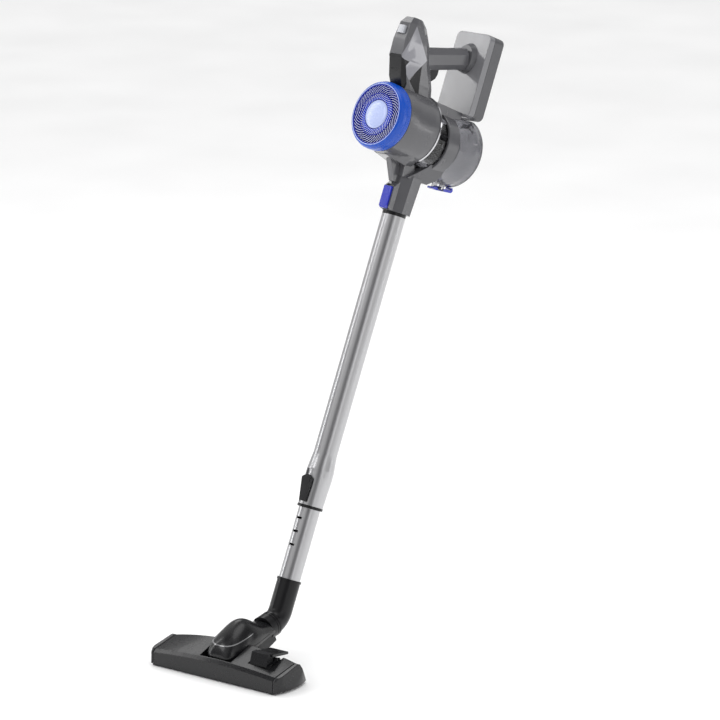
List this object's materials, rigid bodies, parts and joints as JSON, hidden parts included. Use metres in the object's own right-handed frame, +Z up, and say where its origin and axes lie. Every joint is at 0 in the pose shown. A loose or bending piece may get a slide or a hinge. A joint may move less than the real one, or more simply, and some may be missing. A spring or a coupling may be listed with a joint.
{
  "type": "cordless stick vacuum",
  "caption": "Cordless stick vacuum: telescopic tube, swivelling floor head, cyclone hand unit with dust cup, battery and trigger grip.",
  "frame": {"origin": "centre of the floor head's flat sole, on the floor between its ends", "axes": "+Z up, -Y towards the front of the floor head, +X along the floor head to its own right-hand pedal end"},
  "size_m": [0.2404, 0.5749, 0.9013],
  "materials": {
    "charcoal_satin": "satin",
    "black_plastic": "matt",
    "grey_satin": "satin",
    "pale_grey": "gloss",
    "blue_ring": "satin gloss",
    "navy_grille": "gloss",
    "periwinkle": "satin gloss",
    "blue_button": "gloss",
    "bright_trim": "polished",
    "chrome_tube": "polished",
    "sole_steel": "brushed",
    "steel_pin": "bright",
    "soft_rubber": "matt",
    "bristle": "fibre",
    "clear_cup": "clear gloss",
    "cyclone_grey": "satin",
    "filter_white": "pleated",
    "filter_navy": "pleated",
    "motor_metal": "satin",
    "iron_core": "laminated",
    "fan_grey": "satin",
    "board_green": "lacquered",
    "contact_brass": "bright",
    "cell_wrap": "shrink wrap",
    "battery_front_grey": "gloss",
    "battery_rear_grey": "satin"
  },
  "bodies": {
    "hand_unit": {"wand_socket": "grey_satin", "hand_pins": "steel_pin", "motor_housing": "grey_satin", "flange_ring": "bright_trim", "motor_can": "motor_metal", "motor_stator": "iron_core", "motor_bearings": "steel_pin", "motor_mounts": "soft_rubber", "spine_housing": "grey_satin", "vent_insert": "black_plastic", "control_board": "board_green", "handle_grip": "grey_satin", "dock_flange": "grey_satin", "dock_contacts": "contact_brass", "battery_shelf": "grey_satin"},
    "filter_cap": {"filter_ring": "blue_ring", "exhaust_grille": "navy_grille", "grille_hub": "periwinkle", "outlet_filter": "filter_navy"},
    "fan": {"motor_rotor": "steel_pin", "fan_wheel": "fan_grey"},
    "trigger_body": {"trigger": "black_plastic"},
    "mode_key": {"mode_button": "pale_grey"},
    "wand_release": {"release_button": "blue_button"},
    "battery": {"battery_case": "battery_front_grey", "battery_cover": "battery_rear_grey", "battery_cells": "cell_wrap"},
    "battery_release": {"battery_button": "black_plastic"},
    "dust_cup": {"cup_shell": "clear_cup", "cup_pins": "steel_pin", "cyclone_shroud": "cyclone_grey", "cyclone_cone": "cyclone_grey", "inlet_filter": "filter_white"},
    "door": {"cup_door": "clear_cup"},
    "latch": {"latch_lever": "blue_button"},
    "upper_wand": {"upper_tube": "chrome_tube", "tube_collar": "black_plastic", "sleeve": "chrome_tube", "sleeve_ring": "black_plastic"},
    "tube_lock": {"slide_button": "black_plastic"},
    "lower_wand": {"lower_tube": "chrome_tube", "elbow_pipe": "black_plastic"},
    "neck": {"neck_body": "black_plastic", "neck_shield": "charcoal_satin", "swivel_collar": "black_plastic"},
    "floor_head": {"head_cover": "charcoal_satin", "end_caps": "charcoal_satin", "edge_bands": "soft_rubber", "head_base": "black_plastic", "sole_plate": "sole_steel", "wheel_axles": "steel_pin", "pedal_bracket": "black_plastic", "head_pins": "steel_pin", "head_screws": "steel_pin"},
    "wheels": {"rear_wheels": "soft_rubber"},
    "rollers": {"front_rollers": "soft_rubber"},
    "brush": {"brush_carrier": "black_plastic", "brush_bristles": "bristle"},
    "foot_pedal": {"pedal": "charcoal_satin"}
  },
  "joints": [
    {"name": "filter_twist", "type": "hinge", "parent": "hand_unit", "child": "filter_cap", "pos_m": [0.03319, 0.31732, 0.76345], "axis": [0.1486, 0.9125, -0.3811], "range_deg": [0, 30]},
    {"name": "fan_spin", "type": "hinge", "parent": "hand_unit", "child": "fan", "pos_m": [0.04063, 0.36295, 0.7444], "axis": [0.1486, 0.9125, -0.3811], "continuous": true},
    {"name": "trigger_pull", "type": "hinge", "parent": "hand_unit", "child": "trigger_body", "pos_m": [0.04762, 0.40592, 0.8238], "axis": [-0.987, 0.1607, 0], "range_deg": [0, 8], "stiffness_Nm_per_rad": 0.25, "springref_deg": -11.46},
    {"name": "mode_press", "type": "slide", "parent": "hand_unit", "child": "mode_key", "axis": [0.1486, 0.9125, -0.3811], "range_m": [0, 0.0012], "stiffness_N_per_m": 400, "springref_m": -0.001},
    {"name": "wand_release_press", "type": "hinge", "parent": "hand_unit", "child": "wand_release", "pos_m": [0.03522, 0.32976, 0.64577], "axis": [0.987, -0.1607, 0], "range_deg": [0, 5], "stiffness_Nm_per_rad": 0.3, "springref_deg": -8.59},
    {"name": "battery_slide", "type": "slide", "parent": "hand_unit", "child": "battery", "axis": [0.1486, 0.9125, -0.3811], "range_m": [0, 0.05]},
    {"name": "battery_release_press", "type": "slide", "parent": "battery", "child": "battery_release", "axis": [-0.0613, -0.3761, -0.9245], "range_m": [0, 0.002], "stiffness_N_per_m": 500, "springref_m": -0.001},
    {"name": "cup_slide", "type": "slide", "parent": "hand_unit", "child": "dust_cup", "axis": [0.1486, 0.9125, -0.3811], "range_m": [0, 0.06]},
    {"name": "door_hinge", "type": "hinge", "parent": "dust_cup", "child": "door", "pos_m": [0.06151, 0.49116, 0.7326], "axis": [0.987, -0.1607, 0], "range_deg": [0, 90]},
    {"name": "latch_press", "type": "hinge", "parent": "dust_cup", "child": "latch", "pos_m": [0.0515, 0.42972, 0.6435], "axis": [0.987, -0.1607, 0], "range_deg": [0, 6], "stiffness_Nm_per_rad": 0.12, "springref_deg": -14.32},
    {"name": "wand_pull", "type": "slide", "parent": "hand_unit", "child": "upper_wand", "axis": [-0.0613, -0.3761, -0.9245], "range_m": [0, 0.045]},
    {"name": "tube_lock_slide", "type": "slide", "parent": "upper_wand", "child": "tube_lock", "axis": [0.0613, 0.3761, 0.9245], "range_m": [0, 0.006], "stiffness_N_per_m": 500, "springref_m": -0.002},
    {"name": "wand_length", "type": "slide", "parent": "upper_wand", "child": "lower_wand", "axis": [-0.0613, -0.3761, -0.9245], "range_m": [-0.09, 0.12]},
    {"name": "neck_swivel", "type": "hinge", "parent": "lower_wand", "child": "neck", "pos_m": [0, 0.1135, 0.0525], "axis": [0, 0.9816, 0.1908], "range_deg": [-80, 80]},
    {"name": "head_tilt", "type": "hinge", "parent": "neck", "child": "floor_head", "pos_m": [0, 0, 0.02], "axis": [1, 0, 0], "range_deg": [-25, 10]},
    {"name": "rear_wheel_spin", "type": "hinge", "parent": "floor_head", "child": "wheels", "pos_m": [0, 0.0235, 0.0091], "axis": [1, 0, 0], "continuous": true},
    {"name": "front_roller_spin", "type": "hinge", "parent": "floor_head", "child": "rollers", "pos_m": [0, -0.0265, 0.0051], "axis": [1, 0, 0], "continuous": true},
    {"name": "pedal_rock", "type": "hinge", "parent": "floor_head", "child": "foot_pedal", "pos_m": [0.069, 0.004, 0.036], "axis": [1, 0, 0], "range_deg": [-6, 6]},
    {"name": "brush_drop", "type": "slide", "parent": "floor_head", "child": "brush", "axis": [0, 0, -1], "range_m": [-0.003, 0.003]}
  ],
  "couplings": [
    {"joint": "pedal_rock", "follows": "brush_drop", "rad_per_m": 34.906}
  ]
}
